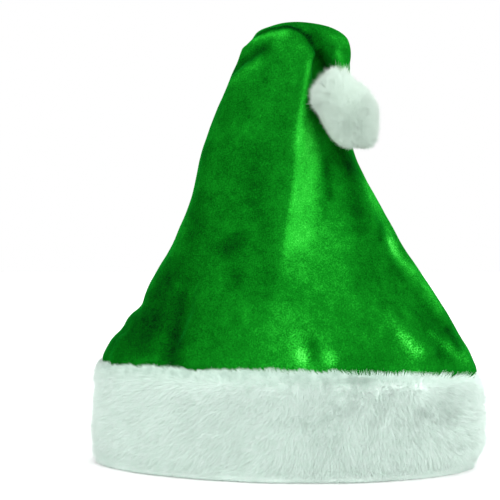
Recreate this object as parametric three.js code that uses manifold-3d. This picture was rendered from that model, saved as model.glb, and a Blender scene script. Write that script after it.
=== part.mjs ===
// A velvet Christmas hat that stands on its plush band: a soft cone of velvet whose tip flops over to
// one side, a deep pile band round the opening and a pile pompom sewn to the tip.
// Millimetres, +Z up, front at -Y. The origin is on the floor, in the middle of the band.
import * as THREE from "three";
import { mergeVertices } from "three/addons/utils/BufferGeometryUtils.js";
import Module from "manifold-3d";

// Head opening inside the band
const HEAD_WIDTH = 241;
const HEAD_DEPTH = 132;
const OPENING_ROUNDNESS = 1.85; // 2 is an ellipse, less is more pointed at the two ends
const OPENING_TURN = 7; // degrees, the +X end of the hat swings towards the front

// Plush band
const BAND_HEIGHT = 70.5;
const BAND_THICKNESS = 13;
const BAND_TILT = 3; // the top edge sinks by this at the +X end and rises at the other
const BAND_SAG = 5; // and sinks by this at both ends
const BAND_LOCK_WIDTH = 26;
const LOCK_RELIEF = 1.8;

// Velvet crown
const VELVET = 1.8;
const CROWN_HEIGHT = 231; // from the band's top edge to the top of the flopped tip
const SEAM_BULGE = 7; // how far the velvet stands out past the opening as it leaves the band
const HEM_DEPTH = 14; // velvet tucked inside the band
const SEWN_GAP = 0.3; // between pieces that are sewn together

// Pompom
const POMPOM_WIDTH = 42;
const POMPOM_LENGTH = 53;
const POMPOM_LEAN = 26; // degrees, its top end leans towards -X
const POMPOM_LOCKS = 60;
const POMPOM_FORWARD = 5; // its centre from the end of the tip
const POMPOM_DROP = 6.5;

// Fineness of the meshes
const CROWN_COLUMNS = 46;
const CROWN_ROWS = 28;
const FLAP_COLUMNS = 18;
const FLAP_ROWS = 16;
const POMPOM_DETAIL = 5;

const openingHalfWidth = HEAD_WIDTH / 2;
const openingHalfDepth = HEAD_DEPTH / 2;
const seamHalfWidth = openingHalfWidth + SEAM_BULGE;
const seamHalfDepth = openingHalfDepth + SEAM_BULGE;

// The cone, from the hem up. up is a share of the crown's height above the band, shift and wide are
// shares of the seam's half width, and forward and deep are shares of its half depth.
const coneSections = [
  {
    up: -HEM_DEPTH / CROWN_HEIGHT,
    shift: 0,
    wide: (openingHalfWidth + VELVET + SEWN_GAP) / seamHalfWidth,
    forward: 0,
    deep: (openingHalfDepth + VELVET + SEWN_GAP) / seamHalfDepth,
  },
  { up: 0, shift: 0, wide: 1, forward: 0, deep: 1 },
  { up: 0.03, shift: 0, wide: 0.987, forward: 0, deep: 0.99 },
  { up: 0.088, shift: 0.01, wide: 0.925, forward: 0, deep: 0.95 },
  { up: 0.177, shift: 0.022, wide: 0.805, forward: 0, deep: 0.866 },
  { up: 0.235, shift: 0.014, wide: 0.74, forward: 0, deep: 0.82 },
  { up: 0.353, shift: 0.003, wide: 0.6, forward: 0, deep: 0.725 },
  { up: 0.471, shift: -0.013, wide: 0.497, forward: 0, deep: 0.63 },
  { up: 0.589, shift: -0.043, wide: 0.42, forward: 0, deep: 0.544 },
  { up: 0.706, shift: -0.032, wide: 0.358, forward: 0, deep: 0.463 },
  { up: 0.824, shift: -0.018, wide: 0.286, forward: 0, deep: 0.376 },
  { up: 0.872, shift: -0.031, wide: 0.232, forward: 0, deep: 0.336 },
  { up: 0.915, shift: -0.046, wide: 0.185, forward: 0, deep: 0.3 },
  { up: 0.941, shift: -0.034, wide: 0.158, forward: 0.02, deep: 0.268 },
  { up: 0.955, shift: -0.028, wide: 0.133, forward: 0.06, deep: 0.22 },
  { up: 0.967, shift: -0.022, wide: 0.092, forward: 0.115, deep: 0.15 },
  { up: 0.975, shift: 0, wide: 0.036, forward: 0.181, deep: 0.054 },
  { up: 0.977, shift: 0, wide: 0.012, forward: 0.195, deep: 0.02 },
];

// The flopped tip, from inside the cone's top, over the fold and down to the pompom. Each row is a flat
// oval between an outer and an inner edge. across and inX are shares of the seam's half width, up and
// inUp of the crown's height, forward and deep of the seam's half depth.
const flapSections = [
  { across: -0.2, up: 0.9, inX: 0.075, inUp: 0.83, forward: -0.04, deep: 0.19 },
  { across: -0.168, up: 0.966, inX: 0.11, inUp: 0.86, forward: -0.065, deep: 0.205 },
  { across: -0.063, up: 0.991, inX: 0.133, inUp: 0.875, forward: -0.07, deep: 0.215 },
  { across: 0.047, up: 1, inX: 0.153, inUp: 0.885, forward: -0.07, deep: 0.225 },
  { across: 0.157, up: 0.99, inX: 0.165, inUp: 0.888, forward: -0.06, deep: 0.24 },
  { across: 0.255, up: 0.97, inX: 0.176, inUp: 0.885, forward: -0.027, deep: 0.255 },
  { across: 0.318, up: 0.939, inX: 0.188, inUp: 0.875, forward: 0.04, deep: 0.255 },
  { across: 0.334, up: 0.896, inX: 0.204, inUp: 0.859, forward: 0.134, deep: 0.228 },
  { across: 0.328, up: 0.848, inX: 0.226, inUp: 0.831, forward: 0.242, deep: 0.181 },
  { across: 0.318, up: 0.805, inX: 0.243, inUp: 0.794, forward: 0.356, deep: 0.125 },
  { across: 0.314, up: 0.771, inX: 0.263, inUp: 0.762, forward: 0.443, deep: 0.085 },
  { across: 0.314, up: 0.745, inX: 0.278, inUp: 0.74, forward: 0.49, deep: 0.055 },
];
const FLAP_HOLLOW = 0.8; // share of the tip that is open inside, before the cloth is gathered solid

// Folds of the cloth. facing is the side they are on, in degrees about +Z from +X. Each runs from one
// point to another, as a share across that side of the seam's half width and up the crown. width is a
// share of the seam's half width, and rise one of its half depth, below 0 for a valley.
const FRONT = -90;
const RIGHT = 0;
const BACK = 90;
const LEFT = 180;
const folds = [
  { facing: FRONT, fromX: 0.134, fromUp: 0.896, toX: 0.067, toUp: 0.753, width: 0.035, rise: 0.06 },
  { facing: FRONT, fromX: 0.067, fromUp: 0.753, toX: 0.05, toUp: 0.6, width: 0.045, rise: 0.075 },
  { facing: FRONT, fromX: 0.05, fromUp: 0.6, toX: -0.016, toUp: 0.325, width: 0.06, rise: 0.06 },
  { facing: FRONT, fromX: 0.17, fromUp: 0.86, toX: 0.16, toUp: 0.65, width: 0.05, rise: -0.09 },
  { facing: FRONT, fromX: -0.281, fromUp: 0.85, toX: -0.1, toUp: 0.915, width: 0.03, rise: -0.035 },
  { facing: FRONT, fromX: -0.285, fromUp: 0.815, toX: -0.12, toUp: 0.88, width: 0.03, rise: 0.03 },
  { facing: FRONT, fromX: -0.5, fromUp: 0.23, toX: -0.6, toUp: 0.04, width: 0.05, rise: -0.06 },
  { facing: FRONT, fromX: -0.42, fromUp: 0.2, toX: -0.5, toUp: 0.03, width: 0.07, rise: 0.03 },
  { facing: FRONT, fromX: 0.087, fromUp: 0.105, toX: 0.09, toUp: 0.03, width: 0.035, rise: -0.05 },
  { facing: FRONT, fromX: 0.49, fromUp: 0.14, toX: 0.7, toUp: 0.065, width: 0.045, rise: 0.05 },
  { facing: FRONT, fromX: 0.6, fromUp: 0.22, toX: 0.8, toUp: 0.12, width: 0.05, rise: -0.045 },
  { facing: FRONT, fromX: 0.4, fromUp: 0.6, toX: 0.6, toUp: 0.32, width: 0.06, rise: -0.04 },
  { facing: LEFT, fromX: 0.35, fromUp: 0.15, toX: -0.3, toUp: 0.165, width: 0.045, rise: -0.075 },
  { facing: LEFT, fromX: 0.35, fromUp: 0.09, toX: -0.2, toUp: 0.1, width: 0.045, rise: -0.045 },
  { facing: RIGHT, fromX: -0.5, fromUp: 0.2, toX: -0.15, toUp: 0.3, width: 0.05, rise: -0.04 },
  { facing: BACK, fromX: -0.05, fromUp: 0.8, toX: 0.05, toUp: 0.25, width: 0.07, rise: -0.045 },
  { facing: BACK, fromX: 0.2, fromUp: 0.6, toX: 0.5, toUp: 0.05, width: 0.07, rise: 0.055 },
  { facing: BACK, fromX: -0.3, fromUp: 0.4, toX: -0.55, toUp: 0.05, width: 0.07, rise: -0.05 },
];

// The band's section, from the middle of its outer side over the top, down inside and out along the
// foot. out is a share of the thickness from the opening, up a share of the height. pile runs from 0 at
// the roots of a row of locks to 1 at their tips, and shift moves a row along by part of a lock.
const bandSection = [
  { out: 1.05, up: 0.37, pile: 1, shift: 0.5 },
  { out: 1.04, up: 0.5, pile: 0.5, shift: 0.5 },
  { out: 1.02, up: 0.63, pile: 0, shift: 0.5 },
  { out: 1.01, up: 0.67, pile: 1, shift: 0 },
  { out: 0.97, up: 0.8, pile: 0.5, shift: 0 },
  { out: 0.9, up: 0.93, pile: 0, shift: 0 },
  { out: 0.75, up: 0.985, pile: 0, shift: 0 },
  { out: 0.45, up: 1, pile: 0, shift: 0 },
  { out: 0.15, up: 0.97, pile: 0, shift: 0 },
  { out: 0, up: 0.88, pile: 0, shift: 0 },
  { out: 0, up: 0.62, pile: 0, shift: 0 },
  { out: 0, up: 0.36, pile: 0, shift: 0 },
  { out: 0, up: 0.12, pile: 0, shift: 0 },
  { out: 0.08, up: 0.03, pile: 0, shift: 0 },
  { out: 0.22, up: 0, pile: 0, shift: 0 },
  { out: 0.58, up: 0, pile: 0, shift: 0 },
  { out: 0.72, up: 0.03, pile: 0.6, shift: 0 },
  { out: 0.82, up: 0.08, pile: 1, shift: 0 },
  { out: 0.97, up: 0.2, pile: 0.5, shift: 0 },
  { out: 1.04, up: 0.33, pile: 0, shift: 0 },
];

const { degToRad, lerp, smoothstep, clamp } = THREE.MathUtils;
const wasm = await Module();
wasm.setup();

// Smooth values between the rows of a table, by the row's own number.
function tableCurve(rows, columns) {
  const values = rows.flatMap((row) => columns.map((column) => row[column]));
  const curve = new THREE.CubicInterpolant(Float32Array.from(rows.keys()), Float32Array.from(values), columns.length);
  return (share) => {
    const at = curve.evaluate(share * (rows.length - 1));
    return Object.fromEntries(columns.map((column, i) => [column, at[i]]));
  };
}

// A point of an oval at an angle, with its outward direction.
function ovalPoint(halfWidth, halfDepth, roundness, turn, angle) {
  const power = (value, exponent) => Math.sign(value) * Math.abs(value) ** exponent;
  const along = Math.cos(angle);
  const away = Math.sin(angle);
  const point = new THREE.Vector2(
    halfWidth * power(along, 2 / roundness),
    halfDepth * power(away, 2 / roundness),
  );
  const outward = new THREE.Vector2(
    power(along, 2 - 2 / roundness) / halfWidth,
    power(away, 2 - 2 / roundness) / halfDepth,
  ).normalize();
  const origin = new THREE.Vector2();
  return {
    point: point.rotateAround(origin, -degToRad(turn)),
    outward: outward.rotateAround(origin, -degToRad(turn)),
  };
}

// Spreads columns evenly round an oval that is wider than it is deep.
function evenAngle(angle, halfWidth, halfDepth) {
  const spread = (halfWidth - halfDepth) / (halfWidth + halfDepth);
  return angle + (spread / 2) * Math.sin(2 * angle);
}

// How far the band's top edge, and the crown with it, sinks towards the ends of the hat.
function sinkAt(x) {
  const share = x / seamHalfWidth;
  return BAND_TILT * share + BAND_SAG * share * share;
}

// How far the folds push the cloth out at a place on the crown.
function foldRise(point, outward, up) {
  let rise = 0;
  for (const fold of folds) {
    const facing = degToRad(fold.facing);
    const towards = outward.x * Math.cos(facing) + outward.y * Math.sin(facing);
    const across = -point.x * Math.sin(facing) + point.y * Math.cos(facing);
    const place = new THREE.Vector3(across, up * CROWN_HEIGHT, 0);
    const line = new THREE.Line3(
      new THREE.Vector3(fold.fromX * seamHalfWidth, fold.fromUp * CROWN_HEIGHT, 0),
      new THREE.Vector3(fold.toX * seamHalfWidth, fold.toUp * CROWN_HEIGHT, 0),
    );
    const nearest = line.closestPointToPoint(place, true, new THREE.Vector3());
    const distance = nearest.distanceTo(place) / (fold.width * seamHalfWidth);
    rise += fold.rise * seamHalfDepth * smoothstep(towards, 0.1, 0.6) * Math.exp(-distance * distance);
  }
  return rise;
}

const coneAt = tableCurve(coneSections, ["up", "shift", "wide", "forward", "deep"]);
const flapAt = tableCurve(flapSections, ["across", "up", "inX", "inUp", "forward", "deep"]);

// A closed sleeve: a capped cylinder whose wall and caps are moved to place(angle, share, rim), where
// share goes from 0 at its start to 1 at its end, and rim from 0 on the axis to 1 at the wall.
function sleeve(columns, rows, place) {
  const geometry = new THREE.CylinderGeometry(1, 1, 1, columns, rows).rotateX(Math.PI / 2);
  const position = geometry.getAttribute("position");
  for (let i = 0; i < position.count; i++) {
    const at = new THREE.Vector3().fromBufferAttribute(position, i);
    const share = clamp(at.z + 0.5, 0, 1);
    position.setXYZ(i, ...place(Math.atan2(at.y, at.x), share, Math.min(1, Math.hypot(at.x, at.y))));
  }
  return geometry;
}

function solidFrom(geometry) {
  geometry.deleteAttribute("normal");
  geometry.deleteAttribute("uv");
  const merged = mergeVertices(geometry, 1e-3);
  return new wasm.Manifold(
    new wasm.Mesh({
      numProp: 3,
      vertProperties: Float32Array.from(merged.getAttribute("position").array),
      triVerts: Uint32Array.from(merged.index.array),
    }),
  );
}

function meshFrom(solid, name, material) {
  const made = solid.getMesh();
  const geometry = new THREE.BufferGeometry();
  geometry.setAttribute("position", new THREE.BufferAttribute(Float32Array.from(made.vertProperties), 3));
  geometry.setIndex(new THREE.BufferAttribute(Uint32Array.from(made.triVerts), 1));
  geometry.computeVertexNormals();
  const mesh = new THREE.Mesh(geometry, material);
  mesh.name = name;
  return mesh;
}

// The filled cone, with its surface moved out by grow.
function cone(grow) {
  const step = 0.5 / CROWN_ROWS;
  return sleeve(CROWN_COLUMNS, CROWN_ROWS, (angle, share, rim) => {
    const row = coneAt(share);
    const below = coneAt(Math.max(0, share - step));
    const above = coneAt(Math.min(1, share + step));
    const slope = new THREE.Vector2(
      (above.up - below.up) * CROWN_HEIGHT,
      ((below.wide - above.wide) * seamHalfWidth + (below.deep - above.deep) * seamHalfDepth) / 2,
    ).normalize();
    const halfWidth = Math.max(row.wide * seamHalfWidth + grow * slope.x, 1);
    const halfDepth = Math.max(row.deep * seamHalfDepth + grow * slope.x, 1);
    const roundness = lerp(OPENING_ROUNDNESS, 2, smoothstep(row.up, 0, 0.5));
    const turn = lerp(OPENING_TURN, 0, smoothstep(row.up, 0, 0.6));
    const column = evenAngle(angle, halfWidth, halfDepth);
    const { point, outward } = ovalPoint(halfWidth, halfDepth, roundness, turn, column);
    const centre = new THREE.Vector2(row.shift * seamHalfWidth, -row.forward * seamHalfDepth);
    point.add(centre);
    point.addScaledVector(outward, foldRise(point, outward, row.up));
    const end = share === 0 ? -Math.abs(grow) : grow * slope.y;
    const sink = sinkAt(point.x) * (1 - smoothstep(row.up, 0, 0.4)) * rim;
    point.lerp(centre, 1 - rim);
    return [point.x, point.y, BAND_HEIGHT + row.up * CROWN_HEIGHT + end - sink];
  });
}

// The filled tip, with its surface moved out by grow, as far as the given share of its length.
function flap(grow, length) {
  return sleeve(FLAP_COLUMNS, FLAP_ROWS, (angle, share, rim) => {
    const row = flapAt(share * length);
    const next = flapAt(Math.min(1, share * length + 0.02));
    const before = flapAt(Math.max(0, share * length - 0.02));
    const place = (at) => ({
      outer: new THREE.Vector3(at.across * seamHalfWidth, -at.forward * seamHalfDepth, at.up * CROWN_HEIGHT),
      inner: new THREE.Vector3(at.inX * seamHalfWidth, -at.forward * seamHalfDepth, at.inUp * CROWN_HEIGHT),
    });
    const middle = (at) => place(at).outer.add(place(at).inner).divideScalar(2);
    const { outer, inner } = place(row);
    const side = outer.clone().sub(inner);
    const halfWidth = Math.max(side.length() / 2 + grow, 0.8);
    const halfDepth = Math.max(row.deep * seamHalfDepth + grow, 0.8);
    const along = middle(next).sub(middle(before)).normalize();
    const end = share === 0 ? -grow : share === 1 ? grow : 0;
    const point = middle(row)
      .addScaledVector(side.normalize(), -Math.cos(angle) * halfWidth * rim)
      .addScaledVector(along, end);
    return [point.x, point.y + Math.sin(angle) * halfDepth * rim, BAND_HEIGHT + point.z];
  });
}

function filledCrown(grow, flapLength = 1) {
  return solidFrom(cone(grow)).add(solidFrom(flap(grow, flapLength)));
}

// The band is a roll of plush. Its outer side is in rows of locks that hang down, each one lowest at its
// root and proudest at its tip.
function plushBand() {
  const perimeter = Math.PI * Math.sqrt(2 * (openingHalfWidth ** 2 + openingHalfDepth ** 2));
  const locks = Math.round(perimeter / BAND_LOCK_WIDTH);
  const geometry = new THREE.TorusGeometry(2, 1, bandSection.length, locks * 4);
  const position = geometry.getAttribute("position");
  for (let i = 0; i < position.count; i++) {
    const at = new THREE.Vector3().fromBufferAttribute(position, i);
    const turn = Math.atan2(at.y, at.x);
    const around = Math.atan2(at.z, Math.hypot(at.x, at.y) - 2) / (2 * Math.PI);
    const row = bandSection.at(Math.round(around * bandSection.length) % bandSection.length);
    const lock = (turn / (2 * Math.PI)) * locks + row.shift;
    const fromMiddle = 2 * Math.abs(lock - Math.round(lock));
    const out = row.out * BAND_THICKNESS + LOCK_RELIEF * row.pile * (1 - fromMiddle ** 2);
    const { point, outward } = ovalPoint(
      openingHalfWidth, openingHalfDepth, OPENING_ROUNDNESS, OPENING_TURN,
      evenAngle(turn, openingHalfWidth, openingHalfDepth),
    );
    point.addScaledVector(outward, out);
    position.setXYZ(i, point.x, point.y, row.up * (BAND_HEIGHT - sinkAt(point.x)));
  }
  return solidFrom(geometry);
}

// The pompom is a longish ball of locks that stand out in evenly spread directions.
function plushPompom(centre) {
  const geometry = new THREE.IcosahedronGeometry(1, POMPOM_DETAIL);
  const goldenTurn = Math.PI * (3 - Math.sqrt(5));
  const locks = Array.from({ length: POMPOM_LOCKS }, (_, i) => {
    const height = 1 - (2 * i + 1) / POMPOM_LOCKS;
    const radius = Math.sqrt(1 - height * height);
    return new THREE.Vector3(radius * Math.cos(i * goldenTurn), radius * Math.sin(i * goldenTurn), height);
  });
  const lockAngle = Math.sqrt((4 * Math.PI) / POMPOM_LOCKS) / 2;
  const position = geometry.getAttribute("position");
  for (let i = 0; i < position.count; i++) {
    const at = new THREE.Vector3().fromBufferAttribute(position, i).normalize();
    const nearest = Math.min(...locks.map((lock) => at.angleTo(lock)));
    const pile = LOCK_RELIEF * (0.5 - Math.min(1, nearest / lockAngle) ** 2);
    const size = new THREE.Vector3(POMPOM_WIDTH, POMPOM_WIDTH, POMPOM_LENGTH).divideScalar(2);
    at.multiply(size.addScalar(pile)).applyAxisAngle(new THREE.Vector3(0, 1, 0), -degToRad(POMPOM_LEAN));
    position.setXYZ(i, ...at.add(centre));
  }
  return solidFrom(geometry);
}

const green = new THREE.MeshStandardMaterial({ color: 0x0a8a1c, roughness: 0.75, metalness: 0 });
const white = new THREE.MeshStandardMaterial({ color: 0xdcefe6, roughness: 0.95, metalness: 0 });

const tip = flapSections.at(-1);
const pompomCentre = new THREE.Vector3(
  ((tip.across + tip.inX) / 2) * seamHalfWidth,
  -tip.forward * seamHalfDepth - POMPOM_FORWARD,
  BAND_HEIGHT + tip.up * CROWN_HEIGHT - POMPOM_DROP,
);

const crown = filledCrown(0).subtract(filledCrown(-VELVET, FLAP_HOLLOW));
const besideCrown = filledCrown(SEWN_GAP);

const hat = new THREE.Group();
hat.name = "christmas_hat";
hat.add(meshFrom(crown, "crown", green));
hat.add(meshFrom(plushBand().subtract(besideCrown), "fur_band", white));
hat.add(meshFrom(plushPompom(pompomCentre).subtract(besideCrown), "pompom", white));

export default hat;
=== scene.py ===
import math

import bpy
import numpy as np
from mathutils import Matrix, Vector, kdtree, noise


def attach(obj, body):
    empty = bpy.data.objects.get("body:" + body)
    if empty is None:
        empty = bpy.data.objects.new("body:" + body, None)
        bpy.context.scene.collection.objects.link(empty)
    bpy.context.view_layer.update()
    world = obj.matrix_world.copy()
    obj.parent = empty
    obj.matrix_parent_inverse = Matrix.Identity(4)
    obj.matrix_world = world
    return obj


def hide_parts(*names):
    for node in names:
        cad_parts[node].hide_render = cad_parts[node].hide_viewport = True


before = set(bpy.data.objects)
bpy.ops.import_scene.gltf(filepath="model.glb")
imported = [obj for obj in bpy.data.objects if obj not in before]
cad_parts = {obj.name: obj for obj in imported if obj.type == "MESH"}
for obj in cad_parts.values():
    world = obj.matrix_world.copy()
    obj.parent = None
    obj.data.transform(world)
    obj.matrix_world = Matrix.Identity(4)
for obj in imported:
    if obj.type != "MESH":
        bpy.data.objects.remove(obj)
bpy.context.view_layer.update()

# Velvet crown
# A cone of green velvet, sewn up the back from one cut, soft and unlined. It stands on the band, its
# tip is folded over the top towards +X and comes down in front to the pompom.
mm = 0.001
opening_half = (120.5 * mm, 66 * mm)
opening_roundness = 1.85
opening_turn = math.radians(7)
band_height = 70.5 * mm
band_tilt = 3 * mm
band_sag = 5 * mm
seam_bulge = 7 * mm
seam_half = (opening_half[0] + seam_bulge, opening_half[1] + seam_bulge)
crown_height = 231 * mm
hem_depth = 14 * mm
velvet_thickness = 1.5 * mm
pucker_depth = 0.45

# up is a share of the crown's height, shift and wide of the seam's half width, forward and deep of its
# half depth
cone_sections = [
    # up, shift, wide, forward, deep
    (-hem_depth / crown_height, 0, 0.9615, 0, 0.933),
    (0, 0, 1, 0, 1),
    (0.03, 0, 0.987, 0, 0.99),
    (0.088, 0.01, 0.925, 0, 0.95),
    (0.177, 0.022, 0.805, 0, 0.866),
    (0.235, 0.014, 0.74, 0, 0.82),
    (0.353, 0.003, 0.6, 0, 0.725),
    (0.471, -0.013, 0.497, 0, 0.63),
    (0.589, -0.043, 0.42, 0, 0.544),
    (0.706, -0.032, 0.358, 0, 0.463),
    (0.824, -0.018, 0.286, 0, 0.376),
    (0.872, -0.031, 0.232, 0, 0.336),
    (0.915, -0.046, 0.185, 0, 0.3),
    (0.941, -0.034, 0.158, 0.02, 0.268),
    (0.955, -0.028, 0.133, 0.06, 0.22),
    (0.967, -0.022, 0.092, 0.115, 0.15),
    (0.975, 0, 0.036, 0.181, 0.054),
    (0.977, 0, 0.012, 0.195, 0.02),
]
tip_sections = [
    # outer edge across and up, inner edge across and up, forward, deep
    (-0.2, 0.9, 0.075, 0.83, -0.04, 0.19),
    (-0.168, 0.966, 0.11, 0.86, -0.065, 0.205),
    (-0.063, 0.991, 0.133, 0.875, -0.07, 0.215),
    (0.047, 1, 0.153, 0.885, -0.07, 0.225),
    (0.157, 0.99, 0.165, 0.888, -0.06, 0.24),
    (0.255, 0.97, 0.176, 0.885, -0.027, 0.255),
    (0.318, 0.939, 0.188, 0.875, 0.04, 0.255),
    (0.334, 0.896, 0.204, 0.859, 0.134, 0.228),
    (0.328, 0.848, 0.226, 0.831, 0.242, 0.181),
    (0.318, 0.805, 0.243, 0.794, 0.356, 0.125),
    (0.314, 0.771, 0.263, 0.762, 0.443, 0.085),
    (0.314, 0.745, 0.278, 0.74, 0.49, 0.055),
]
# Folds, on the side that faces the given degrees about +Z from +X, each from one point across and up to
# another. rise is a share of the seam's half depth, below 0 for a valley
front, right, back, left = -90, 0, 90, 180
folds = [
    # facing, from across and up, to across and up, width to its left and right, rise
    (front, 0.125, 0.905, 0.082, 0.753, 0.06, 0.022, 0.075),
    (front, 0.082, 0.753, 0.05, 0.6, 0.07, 0.04, 0.08),
    (front, 0.05, 0.6, -0.016, 0.325, 0.06, 0.08, 0.065),
    (front, 0.178, 0.86, 0.17, 0.75, 0.04, 0.04, -0.09),
    (front, 0.17, 0.75, 0.2, 0.6, 0.05, 0.05, -0.04),
    (front, -0.281, 0.85, -0.1, 0.915, 0.025, 0.025, -0.04),
    (front, -0.285, 0.815, -0.12, 0.88, 0.028, 0.028, 0.035),
    (front, -0.24, 0.75, -0.14, 0.79, 0.03, 0.03, -0.02),
    (front, -0.5, 0.23, -0.6, 0.04, 0.045, 0.045, -0.07),
    (front, -0.42, 0.2, -0.5, 0.03, 0.06, 0.06, 0.035),
    (front, -0.25, 0.14, -0.3, 0.02, 0.05, 0.05, 0.025),
    (front, 0.087, 0.105, 0.09, 0.03, 0.025, 0.025, -0.06),
    (front, 0.045, 0.1, 0.035, 0.02, 0.03, 0.03, 0.02),
    (front, 0.15, 0.12, 0.16, 0.02, 0.035, 0.035, 0.02),
    (front, 0.49, 0.14, 0.7, 0.065, 0.035, 0.035, 0.06),
    (front, 0.6, 0.22, 0.8, 0.12, 0.04, 0.04, -0.05),
    (front, 0.44, 0.09, 0.6, 0.03, 0.03, 0.03, -0.03),
    (front, 0.4, 0.6, 0.6, 0.32, 0.06, 0.06, -0.04),
    (front, 0.3, 0.4, 0.42, 0.25, 0.06, 0.06, 0.025),
    (left, 0.35, 0.15, -0.3, 0.165, 0.04, 0.04, -0.05),
    (left, 0.35, 0.09, -0.2, 0.1, 0.04, 0.04, -0.045),
    (left, 0.4, 0.06, 0.1, 0.075, 0.02, 0.02, 0.02),
    (right, -0.5, 0.2, -0.15, 0.3, 0.05, 0.05, -0.04),
    (right, -0.2, 0.12, 0.3, 0.05, 0.05, 0.05, -0.015),
    (back, -0.05, 0.8, 0.05, 0.25, 0.07, 0.07, -0.045),
    (back, 0.2, 0.6, 0.5, 0.05, 0.07, 0.07, 0.055),
    (back, -0.3, 0.4, -0.55, 0.05, 0.07, 0.07, -0.05),
]


def ease(value, low, high):
    """0 below low, 1 above high and a smooth step between."""
    share = np.clip((value - low) / (high - low), 0, 1)
    return share * share * (3 - 2 * share)


def sew_curve(table, share):
    """The values at a share of a table's length, on a smooth curve through its rows."""
    rows = np.array(table, float)
    at = share * (len(rows) - 1)
    i = min(int(at), len(rows) - 2)
    t = at - i
    before, start, end, after = (rows[min(max(i + k, 0), len(rows) - 1)] for k in (-1, 0, 1, 2))
    bend = 2 * before - 5 * start + 4 * end - after + t * (3 * (start - end) + after - before)
    return start + 0.5 * t * (end - before + t * bend)


def turned_by(angle):
    """The matrix that turns points, seen from above, from +Y towards +X."""
    return np.array([[math.cos(angle), math.sin(angle)], [-math.sin(angle), math.cos(angle)]])


def oval(half_width, half_depth, roundness, turn, angle):
    """Points round an oval that is spaced evenly, with their outward directions."""
    spread = (half_width - half_depth) / (half_width + half_depth)
    angle = angle + spread / 2 * np.sin(2 * angle)
    along, away = np.cos(angle), np.sin(angle)

    def power(value, exponent):
        return np.sign(value) * np.abs(value) ** exponent

    point = np.stack([half_width * power(along, 2 / roundness), half_depth * power(away, 2 / roundness)])
    outward = np.stack([
        power(along, 2 - 2 / roundness) / half_width, power(away, 2 - 2 / roundness) / half_depth,
    ])
    outward /= np.linalg.norm(outward, axis=0)
    return turned_by(turn) @ point, turned_by(turn) @ outward


def sink_at(x):
    """How far the seam sinks towards the ends of the hat."""
    share = x / seam_half[0]
    return band_tilt * share + band_sag * share * share


def fold_rise(point, outward, up):
    """How far the folds push the cloth out."""
    rise = np.zeros(point.shape[1])
    for facing, x0, up0, x1, up1, left_width, right_width, height in folds:
        facing = math.radians(facing)
        towards = outward[0] * math.cos(facing) + outward[1] * math.sin(facing)
        across = -point[0] * math.sin(facing) + point[1] * math.cos(facing)
        line = np.array([(x1 - x0) * seam_half[0], (up1 - up0) * crown_height])
        from_start = np.stack([across - x0 * seam_half[0], np.full_like(across, (up - up0) * crown_height)])
        share = np.clip(line @ from_start / (line @ line), 0, 1)
        on_right = line[0] * from_start[1] - line[1] * from_start[0] > 0
        width = np.where(on_right, right_width, left_width) * seam_half[0]
        distance = np.linalg.norm(from_start - line[:, None] * share, axis=0) / width
        rise += height * seam_half[1] * ease(towards, 0.1, 0.6) * np.exp(-distance**2)
    return rise


def cone_ring(share, angle):
    """A ring of the cone, seen from above, and its height."""
    up, shift, wide, forward, deep = sew_curve(cone_sections, share)
    roundness = opening_roundness + (2 - opening_roundness) * ease(up, 0, 0.5)
    turn = opening_turn * (1 - ease(up, 0, 0.6))
    half_width = max(wide * seam_half[0], mm)
    half_depth = max(deep * seam_half[1], mm)
    point, outward = oval(half_width, half_depth, roundness, turn, angle)
    point += np.array([[shift * seam_half[0]], [-forward * seam_half[1]]])
    point += outward * fold_rise(point, outward, up)
    # the cloth is gathered a little where it is sewn to the band
    puckers = np.sin(angle * 29) + 0.6 * np.sin(angle * 47 + 1)
    point += outward * puckers * pucker_depth * mm * (1 - ease(up, 0.01, 0.13))
    height = band_height + up * crown_height - sink_at(point[0]) * (1 - ease(up, 0, 0.4))
    return np.stack([point[0], point[1], height], axis=1)


def tip_ring(share, angle):
    """A ring of the folded tip."""
    outer_x, outer_up, inner_x, inner_up, forward, deep = sew_curve(tip_sections, share)
    outer = np.array([outer_x * seam_half[0], outer_up * crown_height])
    inner = np.array([inner_x * seam_half[0], inner_up * crown_height])
    side = (outer - inner) / 2
    middle = (outer + inner) / 2
    crease = 1 + 0.05 * np.sin(angle * 3 + share * 7)
    x = middle[0] - np.cos(angle) * side[0] * crease
    z = band_height + middle[1] - np.cos(angle) * side[1] * crease
    y = -forward * seam_half[1] + np.sin(angle) * deep * seam_half[1] * crease
    return np.stack([x, y, z], axis=1)


def sleeve(name, columns, rows, ring):
    """A closed tube, extruded ring by ring and then drawn to the shape that ring(share, angle) gives."""
    bpy.ops.object.select_all(action="DESELECT")
    bpy.ops.mesh.primitive_circle_add(vertices=columns, radius=1, fill_type="NGON")
    piece = bpy.context.object
    piece.name = piece.data.name = name
    bpy.ops.object.mode_set(mode="EDIT")
    bpy.ops.mesh.select_all(action="SELECT")
    for _ in range(rows):
        bpy.ops.mesh.extrude_region_move(TRANSFORM_OT_translate={"value": (0, 0, 1)})
    bpy.ops.mesh.select_all(action="SELECT")
    bpy.ops.mesh.normals_make_consistent(inside=False)
    bpy.ops.object.mode_set(mode="OBJECT")
    at = np.empty(len(piece.data.vertices) * 3)
    piece.data.vertices.foreach_get("co", at)
    at = at.reshape(-1, 3)
    angle = np.arctan2(at[:, 1], at[:, 0])
    level = np.rint(at[:, 2]).astype(int)
    for row in range(rows + 1):
        mine = level == row
        at[mine] = ring(row / rows, angle[mine])
    piece.data.vertices.foreach_set("co", at.ravel())
    piece.data.update()
    return piece


def apply_modifier(piece, kind, **settings):
    """Adds one modifier to a piece and applies it."""
    bpy.context.view_layer.objects.active = piece
    modifier = piece.modifiers.new(kind.lower(), kind)
    for key, value in settings.items():
        setattr(modifier, key, value)
    bpy.ops.object.modifier_apply(modifier=modifier.name)


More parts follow.
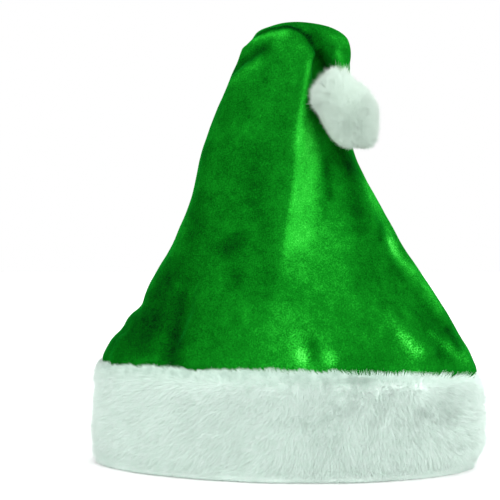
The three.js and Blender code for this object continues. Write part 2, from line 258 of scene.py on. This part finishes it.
def places(mesh):
    """The places of a mesh's points."""
    at = np.empty(len(mesh.vertices) * 3)
    mesh.vertices.foreach_get("co", at)
    return at.reshape(-1, 3)


def facings(mesh):
    """The outward directions at a mesh's points."""
    out = np.empty(len(mesh.vertices) * 3)
    mesh.vertex_normals.foreach_get("vector", out)
    return out.reshape(-1, 3)


def ripples(points, scale, octaves):
    """Smooth random heights at points, closer together with a larger scale."""
    return np.array([
        noise.fractal(Vector(p) * scale, 1, 2, octaves, noise_basis="PERLIN_ORIGINAL") for p in points
    ])


crown = sleeve("velvet_crown", columns=144, rows=96, ring=cone_ring)
tip = sleeve("tip", columns=64, rows=56, ring=tip_ring)
bpy.ops.object.select_all(action="DESELECT")
crown.select_set(True)
tip.select_set(True)
bpy.context.view_layer.objects.active = crown
bpy.ops.object.join()
apply_modifier(crown, "REMESH", mode="VOXEL", voxel_size=1.85 * mm)
apply_modifier(crown, "SMOOTH", factor=0.5, iterations=3)

# Lines on the hat, in millimetres across and up: the seam up the back, where the tip folds over behind
# the front cloth, two short wrinkles in the tip, and the crest of the long fold down the front
seam_x, seam_top = -4, 275
tip_crease = [
    (-27, 285), (-22.5, 288.5), (-11, 292.5), (2, 294), (9, 292), (14, 288.5), (18, 282), (24, 271), (32, 259),
]
tip_crinkles = [[(25, 292), (29, 276)], [(36, 286), (40, 270)]]
crest = [
    (16, 277), (14.5, 266), (12, 253), (9, 240), (7, 226), (4.5, 210), (2.5, 190), (0, 170), (-4, 145),
    (-7, 122),
]
# how deep they are pressed into the cloth, and how high its soft dents are, in millimetres
seam_depth, crease_depth, crinkle_depth, dent_height = 1.4, 1.5, 1.1, 0.9


def line_distance(at, line):
    """How far points are from a line of straight stretches, in millimetres."""
    nearest = np.full(len(at), np.inf)
    for (x0, z0), (x1, z1) in zip(line, line[1:]):
        stretch = np.array([x1 - x0, z1 - z0], float)
        from_start = at - (x0, z0)
        share = np.clip(from_start @ stretch / (stretch @ stretch), 0, 1)
        nearest = np.minimum(nearest, np.linalg.norm(from_start - share[:, None] * stretch, axis=1))
    return nearest


at = places(crown.data)
out = facings(crown.data)
dents = ripples(at, 26, 3)
seam = np.exp(-((at[:, 0] - seam_x * mm) / (2 * mm)) ** 2)
seam = seam * (out[:, 1] > 0.5) * (at[:, 2] < seam_top * mm)
flat = at[:, [0, 2]] / mm
in_front = ease(-at[:, 1], -4 * mm, 4 * mm) * ease(-out[:, 1] + 0.6 * out[:, 2], -0.2, 0.2)
deeper_on_top = 0.4 + 0.6 * ease(flat[:, 1], 268, 284)
crease = np.exp(-(line_distance(flat, tip_crease) / 2) ** 2) * in_front * deeper_on_top
crinkle = sum(np.exp(-(line_distance(flat, line) / 2.2) ** 2) for line in tip_crinkles)
raised = dents * dent_height * mm - seam * seam_depth * mm
raised = raised - crease * crease_depth * mm - crinkle * crinkle_depth * mm
at += out * raised[:, None]
crown.data.vertices.foreach_set("co", at.ravel())
crown.data.update()
apply_modifier(crown, "SMOOTH", factor=0.5, iterations=2)

# the foot of the cone is cut off a little above its lowest ring, so that the hem is open
hem_cut = 1.2 * mm
bpy.ops.object.mode_set(mode="EDIT")
bpy.ops.mesh.select_all(action="DESELECT")
bpy.ops.object.mode_set(mode="OBJECT")
for face in crown.data.polygons:
    low = band_height - hem_depth - sink_at(face.center.x) + hem_cut
    face.select = face.center.z < low or (face.center.z < low + 2 * mm and face.normal.z < -0.6)
bpy.ops.object.mode_set(mode="EDIT")
bpy.ops.mesh.delete(type="FACE")
bpy.ops.object.mode_set(mode="OBJECT")

# Where the nap is brushed up, below 0 down, on each side, in millimetres across it and up. Many marks are
# painted light rather than nap: a painted shadow under the pompom, painted shade in the folds and down the
# left side, and painted highlights on fold edges and along the left rim. sparkle is how much of that shows as
# single bright hairs, as painted glints
nap_and_painted_light_marks = [
    # side, from across and up, to across and up, width, light, sparkle
    (front, -75, 90, -30, 240, 30, -0.22, 0),
    (front, 10, 118, 10, 92, 38, 0.18, 0),
    (front, 23, 266, 21, 256, 4, -0.25, 0),
    (front, 22, 250, 22, 228, 6, -0.15, 0),
    (front, 34, 214, 42, 200, 6, -0.3, 0),
    (front, 25, 204, 27, 180, 3, -0.4, 0),
    (front, 42, 202, 47, 160, 7, -0.38, 0),
    (front, 53, 188, 58, 176, 4, 0.25, 1),
    (front, -30, 152, -40, 146, 6, -0.5, 0),
    (front, -32, 128, -34, 120, 5, -0.3, 0),
    (front, -22, 210, -26, 170, 8, -0.2, 0),
    (front, -38, 264, -15, 279, 4, -0.6, 0),
    (front, -38, 257, -20, 269, 4, 0.35, 0),
    (front, -24, 286, -2, 289, 3, 0.5, 0),
    (front, 0, 272, 4, 262, 7, 0.05, 0),
    (front, -12, 270, -14, 258, 8, -0.12, 0),
    (front, -47, 225, -53, 190, 5, 0.2, 0),
    (front, -16, 203, -17, 172, 6, -0.15, 0),
    (front, -14, 165, -15, 115, 8, -0.25, 0),
    (front, -80, 138, -83, 118, 8, -0.2, 0),
    (front, 47, 150, 47, 125, 9, -0.15, 0),
    (front, 49, 108, 49, 104, 9, -0.1, 0),
    (front, 20, 286, 30, 268, 6, -0.35, 0),
    (front, 33, 276, 38, 262, 2.5, 0.35, 0),
    (front, 28, 289, 38, 283, 4, 0.25, 0),
    (front, -68, 114, -74, 74, 6, -0.5, 0),
    (front, -88, 100, -112, 80, 14, -0.45, 0),
    (front, -80, 120, -90, 100, 12, -0.25, 0),
    (front, 7, 80, 8, 77, 4, 0.75, 1),
    (front, 4, 92, 6, 84, 7, 0.25, 1),
    (front, 25, 79, 26, 76, 4, 0.55, 1),
    (front, 15, 86, 16, 78, 4, -0.45, 0),
    (front, 68, 151, 71, 144, 3, 0.75, 1),
    (front, 62, 160, 60, 152, 4, -0.35, 0),
    (front, 75, 140, 82, 131, 3, 0.35, 1),
    (front, 94, 120, 101, 106, 3, 0.25, 1),
    (front, 68, 134, 102, 93, 4, -0.3, 0),
    (front, 62, 101, 68, 96, 4, 0.1, 1),
    (front, 92, 91, 103, 82, 3, 0.4, 1),
    (front, 72, 90, 81, 81, 4, 0.75, 1),
    (front, 108, 80, 117, 73, 5, 0.35, 1),
    (front, 105, 92, 112, 81, 2.5, -0.5, 0),
    (back, -20, 230, -45, 150, 14, 0.35, 0),
    (back, 18, 250, 40, 170, 10, -0.35, 0),
    (back, -60, 140, -85, 95, 9, 0.45, 0.4),
    (back, -30, 130, -38, 85, 8, -0.4, 0),
    (back, 60, 150, 88, 96, 8, 0.4, 0.5),
    (back, 45, 120, 58, 80, 6, -0.4, 0),
    (back, 15, 100, 20, 78, 5, 0.5, 0.8),
    (back, -98, 98, -110, 84, 7, -0.45, 0),
    (back, 5, 190, 22, 178, 6, -0.25, 0),
    (right, -8, 200, -26, 110, 9, 0.3, 0.2),
    (right, 12, 190, 30, 100, 8, -0.35, 0),
    (right, -42, 100, -48, 80, 6, -0.3, 0),
    (right, 40, 110, 50, 82, 6, 0.35, 0.6),
    (left, -10, 230, -24, 130, 9, 0.3, 0.2),
    (left, 14, 210, 30, 130, 9, -0.3, 0),
    (left, -36, 116, -20, 100, 5, 0.35, 0.6),
    (left, -38, 96, -46, 80, 6, 0.3, 0.5),
]


def below(height, high, low):
    """0 above high, growing to 1 at low."""
    return ease(-height, -high, -low)


at = places(crown.data) / mm
out = facings(crown.data)
# the marks put painted highlights and painted shade into the velvet's tone along with its brushed nap, and
# their sparkle puts painted glints there
nap_with_painted_light, crushed = np.zeros((2, len(at)))
for side, x0, z0, x1, z1, width, light, sparkle in nap_and_painted_light_marks:
    turned = math.radians(side)
    across = at[:, 1] * math.cos(turned) - at[:, 0] * math.sin(turned)
    towards = out[:, 0] * math.cos(turned) + out[:, 1] * math.sin(turned)
    distance = line_distance(np.stack([across, at[:, 2]], axis=1), [(x0, z0), (x1, z1)])
    mark = light * np.exp(-(distance / width) ** 2) * ease(towards, -0.1, 0.3)
    nap_with_painted_light += mark
    crushed += mark * sparkle
# a painted highlight beside the crest: a thin line at the top, opening to a band lower down
flat = at[:, [0, 2]]
height = at[:, 2]
facing_front = ease(-out[:, 1], -0.1, 0.3)
beside = at[:, 0] - np.interp(-height, [-z for x, z in crest], [x for x, z in crest])
lit_width = 6 + 12 * below(height, 235, 200)
painted_highlight_band = ease(beside, -2, 3) * (1 - ease(beside, lit_width - 5, lit_width + 5))
painted_highlight_band += 0.12 * np.exp(-((beside - lit_width) / 14) ** 2) * below(height, 175, 150)
fading = below(height, 245, 215) * (1 - below(height, 158, 120)) * (1 - 0.3 * below(height, 180, 155))
nap_with_painted_light += 0.62 * painted_highlight_band * fading * facing_front
painted_highlight_line = np.exp(-(beside / 2.2) ** 2) * below(height, 278, 266) * (1 - below(height, 225, 200))
nap_with_painted_light += 0.5 * painted_highlight_line * facing_front
# painted shade in the crease and along the seam
crease_painted_shade = np.exp(-(line_distance(flat, tip_crease) / 1.6) ** 2) * ease(-at[:, 1], -4, 4)
nap_with_painted_light -= (0.3 + 0.5 * ease(height, 276, 288)) * crease_painted_shade
seam_painted_shade = np.exp(-((at[:, 0] - seam_x) / 1.6) ** 2) * (out[:, 1] > 0.5) * (height < seam_top)
nap_with_painted_light -= 0.3 * seam_painted_shade
for name, values in (("nap_and_painted_light", nap_with_painted_light), ("painted_glints", crushed)):
    crown.data.attributes.new(name, "FLOAT", "POINT").data.foreach_set("value", values)
apply_modifier(crown, "SOLIDIFY", thickness=velvet_thickness, offset=-1, material_offset=1)
bpy.ops.object.select_all(action="DESELECT")
crown.select_set(True)
bpy.ops.object.shade_smooth()


def new_material(name, **sockets):
    """A material with these values on its shader, with its nodes and the shader."""
    material = bpy.data.materials.new(name)
    material.use_nodes = True
    shader = material.node_tree.nodes["Principled BSDF"]
    for key, value in sockets.items():
        shader.inputs[key.replace("_", " ")].default_value = value
    return material, material.node_tree, shader


def add_node(tree, kind, inputs=(), **settings):
    """A new node. An input is linked if it is given a socket, and set if it is given a value."""
    made = tree.nodes.new(kind)
    for key, value in settings.items():
        setattr(made, key, value)
    for key, value in dict(inputs).items():
        if isinstance(value, bpy.types.NodeSocket):
            tree.links.new(value, made.inputs[key])
        else:
            made.inputs[key].default_value = value
    return made


def cloudy(tree, scale, detail, roughness=0.5, distortion=0.0):
    """Soft random values from 0 to 1 over the piece, finer with a larger scale."""
    here = add_node(tree, "ShaderNodeTexCoord").outputs["Object"]
    inputs = {"Vector": here, "Scale": scale, "Detail": detail}
    inputs.update({"Roughness": roughness, "Distortion": distortion})
    return add_node(tree, "ShaderNodeTexNoise", inputs).outputs["Fac"]


def attribute(tree, name):
    """The values of one of the piece's point attributes."""
    return add_node(tree, "ShaderNodeAttribute", attribute_name=name).outputs["Fac"]


def calculate(tree, operation, *values):
    """The outcome of one sum."""
    return add_node(tree, "ShaderNodeMath", enumerate(values), operation=operation).outputs[0]


def colour_steps(tree, factor, steps):
    """A colour for each value of factor, from rising steps of a value and its colour."""
    ramp = add_node(tree, "ShaderNodeValToRGB", {"Fac": factor})
    elements = ramp.color_ramp.elements
    first, *between, last = steps
    for element, (place, colour) in zip(elements, (first, last)):
        element.position, element.color = place, (*colour, 1)
    for place, colour in between:
        elements.new(place).color = (*colour, 1)
    return ramp.outputs["Color"]


def raise_surface(tree, height, strength, distance, normal=None):
    """The surface's direction where height stands out from it by up to distance."""
    inputs = {"Height": height, "Strength": strength, "Distance": distance}
    if normal:
        inputs["Normal"] = normal
    return add_node(tree, "ShaderNodeBump", inputs).outputs["Normal"]


# The colour follows the nap: light where it is brushed up and dark where it is brushed down, in broad patches,
# in small crushed ones and in single hairs, with painted glints where the marks sparkle, and with the
# painted highlights and painted shade of the marks and beside the crest
velvet, tree, shader = new_material(
    "green_velvet", Roughness=0.6, Sheen_Weight=0.22, Sheen_Roughness=0.25,
    Sheen_Tint=(0.02, 1.0, 0.12, 1), Specular_IOR_Level=0.0,
)
patches = cloudy(tree, 22, 4, roughness=0.6, distortion=0.3)
crushed = cloudy(tree, 130, 3, roughness=0.6, distortion=0.6)
hairs = cloudy(tree, 1100, 1, roughness=0.6)
nap_and_painted_light = calculate(tree, "MULTIPLY_ADD", patches, 0.42, 0.215)
nap_and_painted_light = calculate(tree, "MULTIPLY_ADD", crushed, 0.24, nap_and_painted_light)
# more single bright hairs, as painted glints, where the marks sparkle
sparkle = calculate(tree, "MULTIPLY_ADD", attribute(tree, "painted_glints"), 0.9, 0.38)
nap_and_painted_light = calculate(tree, "MULTIPLY_ADD", calculate(tree, "SUBTRACT", hairs, 0.5), sparkle, nap_and_painted_light)
# the painted highlights and painted shade of the marks and the crest go into the tone here
nap_and_painted_light = calculate(tree, "MULTIPLY_ADD", attribute(tree, "nap_and_painted_light"), 0.36, nap_and_painted_light)
velvet_colour = colour_steps(tree, nap_and_painted_light, [
    (0.2, (0.0005, 0.012, 0.002)),
    (0.42, (0.001, 0.075, 0.003)),
    (0.6, (0.003, 0.155, 0.007)),
    (0.8, (0.015, 0.36, 0.022)),
    (1.0, (0.07, 0.66, 0.075)),
])
tree.links.new(velvet_colour, shader.inputs["Base Color"])
hair_relief = raise_surface(tree, hairs, 0.5, 0.6 * mm)
velvet_relief = raise_surface(tree, crushed, 0.25, 3 * mm, hair_relief)
tree.links.new(velvet_relief, shader.inputs["Normal"])

# the matt knitted back of the cloth, which shows inside the hat
velvet_back, tree, shader = new_material(
    "velvet_back", Roughness=0.95, Sheen_Weight=0.1, Specular_IOR_Level=0.15,
)
knit = cloudy(tree, 700, 2)
back_colour = colour_steps(tree, knit, [(0.3, (0.004, 0.09, 0.012)), (0.7, (0.012, 0.19, 0.03))])
tree.links.new(back_colour, shader.inputs["Base Color"])
tree.links.new(raise_surface(tree, knit, 0.4, 0.5 * mm), shader.inputs["Normal"])

crown.data.materials.clear()
crown.data.materials.append(velvet)
crown.data.materials.append(velvet_back)
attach(crown, "root")
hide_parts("crown")

# Plush band
# A strip of white plush sewn round the opening, folded double so that it is thick and round at its foot.
# Its pile is 5 to 8 mm long and lies in soft tufts, brushed down and in front towards -X. It hides the seam.
band_section = [
    # the surface of the pile, out from the opening and up, in millimetres, from the outer side over the top
    # and down inside
    (13.6, 27), (13.5, 35), (13.2, 44), (12.8, 52), (12.2, 60), (11.2, 66), (9.8, 68.6), (8.4, 68),
    (7.6, 65.5), (6.2, 61), (4.4, 56), (2.6, 54), (0.6, 52), (0, 48), (0, 40), (0, 30), (0, 20), (0, 10),
    (0.6, 3.5), (2, 0.8), (4, 0), (6.5, 0), (9, 0.9), (11, 3.6), (12.4, 9), (13.3, 17),
]
# how far the cloth under the pile lies inside that on the outer side, and how high its lumps are
pile_inset = 4 * mm
band_lump_height = 1.2


def right_end(x):
    """Grows to 1 at the +X end of the hat, where the band's foot is rounder and its pile shorter."""
    return ease(x, 0.3 * opening_half[0], opening_half[0])


bpy.ops.object.select_all(action="DESELECT")
bpy.ops.mesh.primitive_torus_add(
    major_segments=288, minor_segments=2 * len(band_section), major_radius=2, minor_radius=1,
)
band = bpy.context.object
band.name = band.data.name = "plush_band"
at = places(band.data)
turn = np.arctan2(at[:, 1], at[:, 0])
around = np.arctan2(at[:, 2], np.hypot(at[:, 0], at[:, 1]) - 2) / (2 * math.pi) % 1
point, outward = oval(*opening_half, opening_roundness, opening_turn, turn)
closed_section = band_section + band_section[:1]
section = np.array([sew_curve(closed_section, share) for share in around]) * mm
outer_side = ease(section[:, 0], 5 * mm, 9 * mm)
section[:, 0] -= outer_side * pile_inset * ease(section[:, 1], 0, 8 * mm)
foot_rounding = 0.05 + 0.5 * right_end(point[0])
section[:, 0] *= 1 - foot_rounding * (1 - ease(section[:, 1], 0, 20 * mm))
lumps = ripples(np.column_stack([point.T, 3 * section[:, 1]]), 30, 2)
section[:, 0] += outer_side * lumps * band_lump_height * mm
at[:, 0] = point[0] + outward[0] * section[:, 0]
at[:, 1] = point[1] + outward[1] * section[:, 0]
at[:, 2] = section[:, 1] * (1 - sink_at(at[:, 0]) / band_height)
band.data.vertices.foreach_set("co", at.ravel())
band.data.update()
bpy.ops.object.shade_smooth()

# the cloth that the pile grows from
plush, tree, shader = new_material(
    "white_plush", Roughness=0.9, Sheen_Weight=0.25, Sheen_Roughness=0.5, Specular_IOR_Level=0.2,
)
tufts = cloudy(tree, 160, 4, roughness=0.6)
plush_colour = colour_steps(tree, tufts, [(0.3, (0.72, 0.86, 0.79)), (0.7, (0.86, 0.95, 0.9))])
tree.links.new(plush_colour, shader.inputs["Base Color"])
tree.links.new(raise_surface(tree, tufts, 0.6, 3 * mm), shader.inputs["Normal"])
band.data.materials.append(plush)


def lay_pile(name, roots, outs, combs, lengths, width, seed, faces, material):
    """One mesh of three-sided, pointed fibres, written straight from their points, as they are so many.

    They stand along outs, lean over along combs, and are shaded as a surface that faces along faces.
    """
    dice = np.random.default_rng(seed)
    count = len(roots)
    lean = outs * 0.8 + combs + dice.normal(0, 0.12, (count, 3))
    lean /= np.linalg.norm(lean, axis=1)[:, None]
    side = np.cross(lean, dice.normal(size=(count, 3)))
    side /= np.linalg.norm(side, axis=1)[:, None]
    other = np.cross(lean, side)
    foot = [
        roots + width / 2 * (math.cos(turn) * side + math.sin(turn) * other)
        for turn in np.radians([0, 120, 240])
    ]
    verts = np.stack([*foot, roots + lean * lengths[:, None]], axis=1)
    # no fibre goes through what the hat stands on
    verts[:, :, 2] = np.maximum(verts[:, :, 2], 0.3 * mm)
    first = np.arange(count)[:, None] * 4
    corners = first + (0, 1, 3, 1, 2, 3, 2, 0, 3)
    mesh = bpy.data.meshes.new(name)
    mesh.vertices.add(count * 4)
    mesh.vertices.foreach_set("co", verts.ravel())
    mesh.loops.add(count * 9)
    mesh.loops.foreach_set("vertex_index", corners.ravel())
    mesh.polygons.add(count * 3)
    mesh.polygons.foreach_set("loop_start", np.arange(count * 3) * 3)
    mesh.update(calc_edges=True)
    mesh.validate()
    piece = bpy.data.objects.new(name, mesh)
    bpy.context.scene.collection.objects.link(piece)
    piece.data.materials.append(material)
    mesh.polygons.foreach_set("use_smooth", [True] * len(mesh.polygons))
    # the pile is lit as one soft surface, with a little of each fibre's own shine
    bent = combs / (1 + np.linalg.norm(combs, axis=1)[:, None])
    shine = faces + 0.2 * bent + dice.normal(0, 0.1, (count, 3))
    shine /= np.linalg.norm(shine, axis=1)[:, None]
    mesh.normals_split_custom_set_from_vertices(np.repeat(shine, 4, axis=0))
    return piece


def scatter(mesh, count, seed, chance):
    """Random roots on a mesh, with its outward direction there. chance(place) weighs each face."""
    dice = np.random.default_rng(seed)
    mesh.calc_loop_triangles()
    corners = np.empty(len(mesh.loop_triangles) * 3, int)
    mesh.loop_triangles.foreach_get("vertices", corners)
    corners = corners.reshape(-1, 3)
    at, out = places(mesh), facings(mesh)
    a, b, c = (at[corners[:, i]] for i in range(3))
    area = np.linalg.norm(np.cross(b - a, c - a), axis=1) * chance((a + b + c) / 3)
    face = dice.choice(len(corners), count, p=area / area.sum())
    u, v = dice.random((2, count, 1))
    over = u + v > 1
    u, v = np.where(over, 1 - u, u), np.where(over, 1 - v, v)
    root = a[face] + u * (b - a)[face] + v * (c - a)[face]
    n = [out[corners[face, i]] for i in range(3)]
    outward = n[0] * (1 - u - v) + n[1] * u + n[2] * v
    return root, outward / np.linalg.norm(outward, axis=1)[:, None]


def swirl(at, scale, seed):
    """A smooth field of directions, so that neighbouring fibres lie alike, finer with a larger scale."""
    noise.seed_set(seed)
    return np.array([noise.noise_vector(Vector(p) * scale) for p in at])


def gather(roots, combs, tuft_size, pull, seed):
    """Bends the fibres so that the ends of about tuft_size of them meet in a tuft."""
    dice = np.random.default_rng(seed)
    heads = dice.choice(len(roots), max(1, int(len(roots) / tuft_size)), replace=False)
    tree = kdtree.KDTree(len(heads))
    for i, head in enumerate(heads):
        tree.insert(roots[head], i)
    tree.balance()
    nearest = np.array([tree.find(p)[1] for p in roots])
    to_head = roots[heads[nearest]] - roots
    return combs * (1 - pull / 2) + combs[heads[nearest]] * pull / 2 + to_head / (5 * mm) * pull


def fibre_material(name, sewn_edge_painted_shade, dark, light):
    """Dark and light fibres, darkening to a painted shade where the band is sewn on, from 58 mm up."""
    material, tree, shader = new_material(
        name, Roughness=0.75, Sheen_Weight=0.3, Sheen_Roughness=0.4, Specular_IOR_Level=0.25,
    )
    here = add_node(tree, "ShaderNodeTexCoord").outputs["Object"]
    height = add_node(tree, "ShaderNodeSeparateXYZ", {"Vector": here}).outputs["Z"]
    # painted shade: the pile darkens towards the band's top edge, where light from above falls on it most
    top_edge_painted_shade = add_node(tree, "ShaderNodeMapRange", {
        "Value": height, "From Min": 58 * mm, "From Max": 69 * mm, "To Max": 0.4,
    }).outputs["Result"]
    shade = calculate(tree, "SUBTRACT", cloudy(tree, 220, 3, roughness=0.6), top_edge_painted_shade)
    colour = colour_steps(tree, shade, [(0.0, sewn_edge_painted_shade), (0.3, dark), (0.7, light)])
    tree.links.new(colour, shader.inputs["Base Color"])
    return material


fibres = fibre_material("plush_fibres", (0.5, 0.68, 0.58), (0.7, 0.88, 0.78), (0.78, 0.92, 0.85))

fibre_width = 0.32 * mm
band_fibre_count = 190000
# halfway through the thinnest part of the band, where its pile changes from the outer side's to the inside's
inside = (opening_half[0] + 2.5 * mm, opening_half[1] + 2.5 * mm)


def band_chance(at):
    """Most of the pile is on the outer side, the foot and above all the sewn edge, with little inside."""
    flat = turned_by(-opening_turn) @ at[:, :2].T
    reach = sum(np.abs(flat[i] / inside[i]) ** opening_roundness for i in (0, 1))
    within = (reach < 1) & (at[:, 2] < 60 * mm)
    return np.where(within, 0.12, 1.0) * (1 + 2 * ease(at[:, 2], 60 * mm, 66 * mm))


roots, outs = scatter(band.data, band_fibre_count, seed=11, chance=band_chance)
height = roots[:, 2]
near_seam = ease(height, 58 * mm, 66 * mm)
# the pile is brushed down, but up where it turns over the sewn edge
down = np.empty_like(roots)
down[:, 0] = -0.3
down[:, 1] = 0.75
down[:, 2] = -0.55 + 0.9 * ease(height, 56 * mm, 68 * mm)
down -= outs * np.sum(down * outs, axis=1)[:, None]
drift = swirl(roots, 40, seed=1) * 0.4 + swirl(roots, 130, seed=2) * 0.32
combs = gather(roots, drift * (1 + 0.9 * near_seam)[:, None] + down, tuft_size=26, pull=0.2, seed=12)
# shorter under the foot, at the sewn edge and where the foot is rounder
lengths = np.random.default_rng(13).uniform(5.5, 8, len(roots)) * mm
lengths *= np.where(height < 6 * mm, 0.45, 1) * (1 - 0.32 * near_seam)
lengths *= 1 - 0.35 * right_end(roots[:, 0]) * (1 - ease(height, 6 * mm, 20 * mm))
# the ends at the top turn over the edge and catch the light like the side below them
upward = ease(outs[:, 2], 0, 0.9)[:, None]
away = np.column_stack([roots[:, :2] / np.square(opening_half), np.zeros(len(roots))])
away /= np.linalg.norm(away, axis=1)[:, None]
faces = outs * (1, 1, 0.5) * (1 - upward) + (away + (0, 0, 0.25)) * upward
# round the band in stretches
stretches = 8
turn_share = np.arctan2(roots[:, 1], roots[:, 0]) / (2 * math.pi) % 1
stretch = np.floor(turn_share * stretches).astype(int)
for i in range(stretches):
    mine = stretch == i
    pile = lay_pile(
        f"band_pile_{i + 1}", roots[mine], outs[mine], combs[mine], lengths[mine], fibre_width,
        seed=20 + i, faces=faces[mine], material=fibres,
    )
    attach(pile, "root")
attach(band, "root")
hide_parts("fur_band")

# Pompom
# A ball of the same plush, drawn together over a little stuffing and sewn to the end of the tip. It hangs
# against the front of the crown, a little longer than wide, with its top leaning towards -X.
pompom_centre = Vector((37.7, -41.5, 236)) * mm
pompom_half_depth = 20 * mm
pompom_fibre_count = 48000
# how far the ball under the pile lies inside the pompom's outline
ball_inset = 4.5 * mm
pompom_outline = [
    # degrees round from +X towards +Z, and how far the pile reaches there, in millimetres
    (0, 21.3), (22, 19.6), (50, 19), (74, 19), (90, 21.5), (105, 24), (120, 23.5), (140, 22), (160, 21),
    (180, 18.3), (200, 17.2), (220, 17.4), (240, 19.5), (262, 23.5), (280, 26), (289, 25), (298, 28),
    (306, 30.5), (314, 27.5), (335, 23), (360, 21.3),
]
bpy.ops.object.select_all(action="DESELECT")
bpy.ops.mesh.primitive_ico_sphere_add(subdivisions=6, radius=1)
pompom = bpy.context.object
pompom.name = pompom.data.name = "plush_pompom"
at = places(pompom.data)
lumps = ripples(at, 1.6, 2)
reach = np.interp(np.degrees(np.arctan2(at[:, 2], at[:, 0])) % 360, *zip(*pompom_outline)) * mm
at *= np.stack([reach, np.full_like(reach, pompom_half_depth), reach], axis=1) - ball_inset
at = at * (1 + 0.05 * lumps)[:, None] + np.array(pompom_centre)
pompom.data.vertices.foreach_set("co", at.ravel())
pompom.data.update()
apply_modifier(pompom, "SMOOTH", factor=0.5, iterations=6)
bpy.ops.object.shade_smooth()
pompom.data.materials.append(plush)

pompom_fibres = fibre_material("pompom_fibres", (0.75, 0.91, 0.8), (0.75, 0.91, 0.8), (0.81, 0.95, 0.86))
roots, outs = scatter(pompom.data, pompom_fibre_count, seed=31, chance=lambda at: np.ones(len(at)))
dice = np.random.default_rng(33)
combs = swirl(roots, 60, seed=5) * 0.3 + swirl(roots, 240, seed=6) * 0.2 + dice.normal(0, 0.25, roots.shape)
# longer at the top left, where the ends stand out in tufts
to_tuft = (roots - np.array(pompom_centre)) @ (-0.7, 0, 0.7)
tufted = ease(to_tuft, 9 * mm, 16 * mm)[:, None]
in_tufts = gather(roots, combs, tuft_size=90, pull=0.85, seed=32)
combs = combs * (1 - tufted) + in_tufts * tufted + np.array([-0.2, 0, 0.3]) * tufted
# 4 to 6 mm, with a few longer ones
lengths = (4 + 1.8 * dice.random(len(roots)) + 2 * dice.random(len(roots)) ** 8) * mm
lengths *= 1 + 0.8 * tufted[:, 0]
pompom_pile = lay_pile(
    "pompom_pile", roots, outs, combs, lengths, 1.1 * fibre_width,
    seed=34, faces=outs * (1, 1, 0.6), material=pompom_fibres,
)
for piece in (pompom, pompom_pile):
    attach(piece, "root")
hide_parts("pompom")

# Studio
# A plain pale floor and white surroundings, a broad soft key light from the upper right in front, a rim
# light from the right behind, a weak fill from the left in front, and a camera level with the hat's middle.
bpy.ops.object.select_all(action="DESELECT")
bpy.ops.mesh.primitive_plane_add(size=14)
floor = bpy.context.object
floor.name = "floor"
floor_paint, tree, shader = new_material("pale_floor", Roughness=0.9, Specular_IOR_Level=0.1)
floor_colour = colour_steps(tree, cloudy(tree, 3, 2), [(0.3, (0.95, 0.95, 0.95)), (0.7, (0.96, 0.96, 0.96))])
tree.links.new(floor_colour, shader.inputs["Base Color"])
floor.data.materials.append(floor_paint)

for name, energy, spread, towards in (
    ("key", 1.9, 65, (-0.35, 0.85, -0.6)),
    ("rim", 1.0, 40, (-0.55, -0.75, -0.45)),
):
    sun = bpy.data.lights.new(name, "SUN")
    sun.energy, sun.angle = energy, math.radians(spread)
    lamp = bpy.data.objects.new(name, sun)
    lamp.rotation_euler = Vector(towards).to_track_quat("-Z", "Y").to_euler()
    bpy.context.scene.collection.objects.link(lamp)

softbox = bpy.data.lights.new("fill", "AREA")
softbox.shape, softbox.size, softbox.size_y, softbox.energy = "RECTANGLE", 1.2, 1.2, 8
fill = bpy.data.objects.new("fill", softbox)
fill.location = (-1.1, -1.2, 0.9)
fill.rotation_euler = (Vector((0, 0, 0.15)) - fill.location).to_track_quat("-Z", "Y").to_euler()
bpy.context.scene.collection.objects.link(fill)

world = bpy.data.worlds.new("studio")
bpy.context.scene.world = world
world.use_nodes = True
room = world.node_tree.nodes["Background"]
room.inputs["Color"].default_value = (1, 1, 1, 1)
room.inputs["Strength"].default_value = 1
bpy.context.scene.view_settings.view_transform = "Standard"

eye = bpy.data.cameras.new("eye")
eye.lens, eye.sensor_width = 90, 36
camera = bpy.data.objects.new("eye", eye)
camera.location = (-24.5 * mm, -850 * mm, 145 * mm)
camera.rotation_euler = (math.pi / 2, 0, 0)
bpy.context.scene.collection.objects.link(camera)
bpy.context.scene.camera = camera
